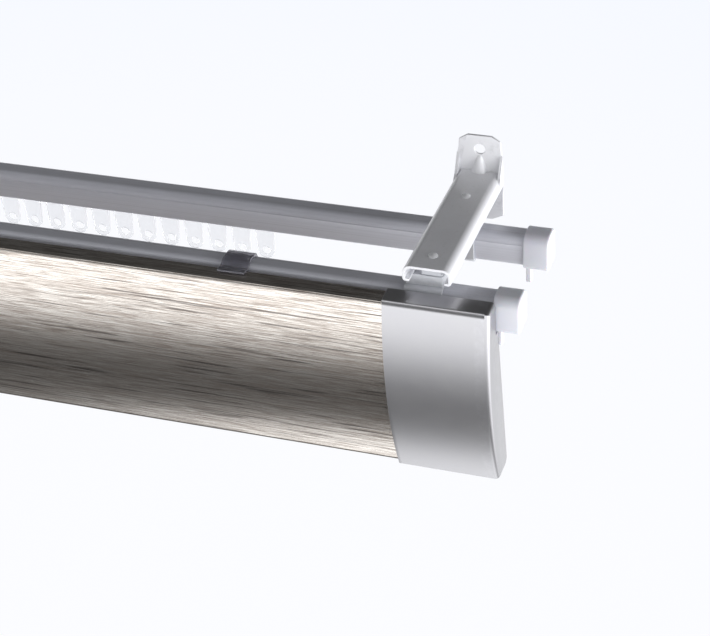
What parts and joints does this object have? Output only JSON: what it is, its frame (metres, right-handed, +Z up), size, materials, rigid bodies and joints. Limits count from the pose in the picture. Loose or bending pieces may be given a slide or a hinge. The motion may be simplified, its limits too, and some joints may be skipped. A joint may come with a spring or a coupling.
{
  "type": "double curtain rail with fascia",
  "caption": "Double curtain rail on wall brackets, with a curved brushed fascia, end caps, clips and sliding gliders that carry the curtains.",
  "frame": {"origin": "on the wall plane, at the centre of the four wall screw holes", "axes": "+X along the rails to the right as seen from the room, +Y into the wall, +Z up"},
  "size_m": [1.2034, 0.1102, 0.1524],
  "materials": {
    "bracket_paint": "white powder coat",
    "holder_zinc": "light grey coated spring sheet",
    "rivet_steel": "bright domed rivet",
    "rail_enamel": "white enamel, satin",
    "rail_cap_plastic": "white moulded plastic",
    "fascia_bronze": "brushed champagne and bronze",
    "fascia_cap_satin": "satin silver plastic",
    "clip_smoke": "clear smoke-grey plastic",
    "glider_nylon": "translucent white nylon"
  },
  "bodies": {
    "frame": {"bracket_left": "bracket_paint", "bracket_right": "bracket_paint", "rail_holder_rear_left": "holder_zinc", "rail_holder_rear_right": "holder_zinc", "rail_holder_front_left": "holder_zinc", "rail_holder_front_right": "holder_zinc", "holder_rivets": "rivet_steel", "rail_rear": "rail_enamel", "rail_front": "rail_enamel", "rail_cap_rear_left": "rail_cap_plastic", "rail_cap_rear_right": "rail_cap_plastic", "rail_cap_front_left": "rail_cap_plastic", "rail_cap_front_right": "rail_cap_plastic", "fascia": "fascia_bronze", "fascia_cap_left": "fascia_cap_satin", "fascia_cap_right": "fascia_cap_satin", "fascia_clip_1": "clip_smoke", "fascia_clip_2": "clip_smoke", "fascia_clip_3": "clip_smoke", "fascia_clip_4": "clip_smoke"},
    "glider_rear_1": {"glider_rear_1": "glider_nylon"},
    "glider_rear_2": {"glider_rear_2": "glider_nylon"},
    "glider_rear_3": {"glider_rear_3": "glider_nylon"},
    "glider_rear_4": {"glider_rear_4": "glider_nylon"},
    "glider_rear_5": {"glider_rear_5": "glider_nylon"},
    "glider_rear_6": {"glider_rear_6": "glider_nylon"},
    "glider_rear_7": {"glider_rear_7": "glider_nylon"},
    "glider_rear_8": {"glider_rear_8": "glider_nylon"},
    "glider_rear_9": {"glider_rear_9": "glider_nylon"},
    "glider_rear_10": {"glider_rear_10": "glider_nylon"},
    "glider_rear_11": {"glider_rear_11": "glider_nylon"},
    "glider_rear_12": {"glider_rear_12": "glider_nylon"},
    "glider_front_1": {"glider_front_1": "glider_nylon"},
    "glider_front_2": {"glider_front_2": "glider_nylon"},
    "glider_front_3": {"glider_front_3": "glider_nylon"},
    "glider_front_4": {"glider_front_4": "glider_nylon"},
    "glider_front_5": {"glider_front_5": "glider_nylon"},
    "glider_front_6": {"glider_front_6": "glider_nylon"},
    "glider_front_7": {"glider_front_7": "glider_nylon"},
    "glider_front_8": {"glider_front_8": "glider_nylon"},
    "glider_front_9": {"glider_front_9": "glider_nylon"},
    "glider_front_10": {"glider_front_10": "glider_nylon"},
    "glider_front_11": {"glider_front_11": "glider_nylon"},
    "glider_front_12": {"glider_front_12": "glider_nylon"}
  },
  "joints": [
    {"name": "draw_rear_1", "type": "slide", "parent": "frame", "child": "glider_rear_1", "axis": [-1, 0, 0], "range_m": [0, 0.07167]},
    {"name": "draw_rear_2", "type": "slide", "parent": "frame", "child": "glider_rear_2", "axis": [-1, 0, 0], "range_m": [0, 0.14333]},
    {"name": "draw_rear_3", "type": "slide", "parent": "frame", "child": "glider_rear_3", "axis": [-1, 0, 0], "range_m": [0, 0.215]},
    {"name": "draw_rear_4", "type": "slide", "parent": "frame", "child": "glider_rear_4", "axis": [-1, 0, 0], "range_m": [0, 0.28667]},
    {"name": "draw_rear_5", "type": "slide", "parent": "frame", "child": "glider_rear_5", "axis": [-1, 0, 0], "range_m": [0, 0.35833]},
    {"name": "draw_rear_6", "type": "slide", "parent": "frame", "child": "glider_rear_6", "axis": [-1, 0, 0], "range_m": [0, 0.43]},
    {"name": "draw_rear_7", "type": "slide", "parent": "frame", "child": "glider_rear_7", "axis": [-1, 0, 0], "range_m": [0, 0.50167]},
    {"name": "draw_rear_8", "type": "slide", "parent": "frame", "child": "glider_rear_8", "axis": [-1, 0, 0], "range_m": [0, 0.57333]},
    {"name": "draw_rear_9", "type": "slide", "parent": "frame", "child": "glider_rear_9", "axis": [-1, 0, 0], "range_m": [0, 0.645]},
    {"name": "draw_rear_10", "type": "slide", "parent": "frame", "child": "glider_rear_10", "axis": [-1, 0, 0], "range_m": [0, 0.71667]},
    {"name": "draw_rear_11", "type": "slide", "parent": "frame", "child": "glider_rear_11", "axis": [-1, 0, 0], "range_m": [0, 0.78833]},
    {"name": "draw_rear_12", "type": "slide", "parent": "frame", "child": "glider_rear_12", "axis": [-1, 0, 0], "range_m": [0, 0.86]},
    {"name": "draw_front_1", "type": "slide", "parent": "frame", "child": "glider_front_1", "axis": [-1, 0, 0], "range_m": [0, 0.07167]},
    {"name": "draw_front_2", "type": "slide", "parent": "frame", "child": "glider_front_2", "axis": [-1, 0, 0], "range_m": [0, 0.14333]},
    {"name": "draw_front_3", "type": "slide", "parent": "frame", "child": "glider_front_3", "axis": [-1, 0, 0], "range_m": [0, 0.215]},
    {"name": "draw_front_4", "type": "slide", "parent": "frame", "child": "glider_front_4", "axis": [-1, 0, 0], "range_m": [0, 0.28667]},
    {"name": "draw_front_5", "type": "slide", "parent": "frame", "child": "glider_front_5", "axis": [-1, 0, 0], "range_m": [0, 0.35833]},
    {"name": "draw_front_6", "type": "slide", "parent": "frame", "child": "glider_front_6", "axis": [-1, 0, 0], "range_m": [0, 0.43]},
    {"name": "draw_front_7", "type": "slide", "parent": "frame", "child": "glider_front_7", "axis": [-1, 0, 0], "range_m": [0, 0.50167]},
    {"name": "draw_front_8", "type": "slide", "parent": "frame", "child": "glider_front_8", "axis": [-1, 0, 0], "range_m": [0, 0.57333]},
    {"name": "draw_front_9", "type": "slide", "parent": "frame", "child": "glider_front_9", "axis": [-1, 0, 0], "range_m": [0, 0.645]},
    {"name": "draw_front_10", "type": "slide", "parent": "frame", "child": "glider_front_10", "axis": [-1, 0, 0], "range_m": [0, 0.71667]},
    {"name": "draw_front_11", "type": "slide", "parent": "frame", "child": "glider_front_11", "axis": [-1, 0, 0], "range_m": [0, 0.78833]},
    {"name": "draw_front_12", "type": "slide", "parent": "frame", "child": "glider_front_12", "axis": [-1, 0, 0], "range_m": [0, 0.86]}
  ],
  "couplings": [
    {"joint": "draw_rear_1", "follows": "draw_rear_12", "ratio": 0.083333},
    {"joint": "draw_rear_2", "follows": "draw_rear_12", "ratio": 0.16667},
    {"joint": "draw_rear_3", "follows": "draw_rear_12", "ratio": 0.25},
    {"joint": "draw_rear_4", "follows": "draw_rear_12", "ratio": 0.33333},
    {"joint": "draw_rear_5", "follows": "draw_rear_12", "ratio": 0.41667},
    {"joint": "draw_rear_6", "follows": "draw_rear_12", "ratio": 0.5},
    {"joint": "draw_rear_7", "follows": "draw_rear_12", "ratio": 0.58333},
    {"joint": "draw_rear_8", "follows": "draw_rear_12", "ratio": 0.66667},
    {"joint": "draw_rear_9", "follows": "draw_rear_12", "ratio": 0.75},
    {"joint": "draw_rear_10", "follows": "draw_rear_12", "ratio": 0.83333},
    {"joint": "draw_rear_11", "follows": "draw_rear_12", "ratio": 0.91667},
    {"joint": "draw_front_1", "follows": "draw_front_12", "ratio": 0.083333},
    {"joint": "draw_front_2", "follows": "draw_front_12", "ratio": 0.16667},
    {"joint": "draw_front_3", "follows": "draw_front_12", "ratio": 0.25},
    {"joint": "draw_front_4", "follows": "draw_front_12", "ratio": 0.33333},
    {"joint": "draw_front_5", "follows": "draw_front_12", "ratio": 0.41667},
    {"joint": "draw_front_6", "follows": "draw_front_12", "ratio": 0.5},
    {"joint": "draw_front_7", "follows": "draw_front_12", "ratio": 0.58333},
    {"joint": "draw_front_8", "follows": "draw_front_12", "ratio": 0.66667},
    {"joint": "draw_front_9", "follows": "draw_front_12", "ratio": 0.75},
    {"joint": "draw_front_10", "follows": "draw_front_12", "ratio": 0.83333},
    {"joint": "draw_front_11", "follows": "draw_front_12", "ratio": 0.91667}
  ]
}
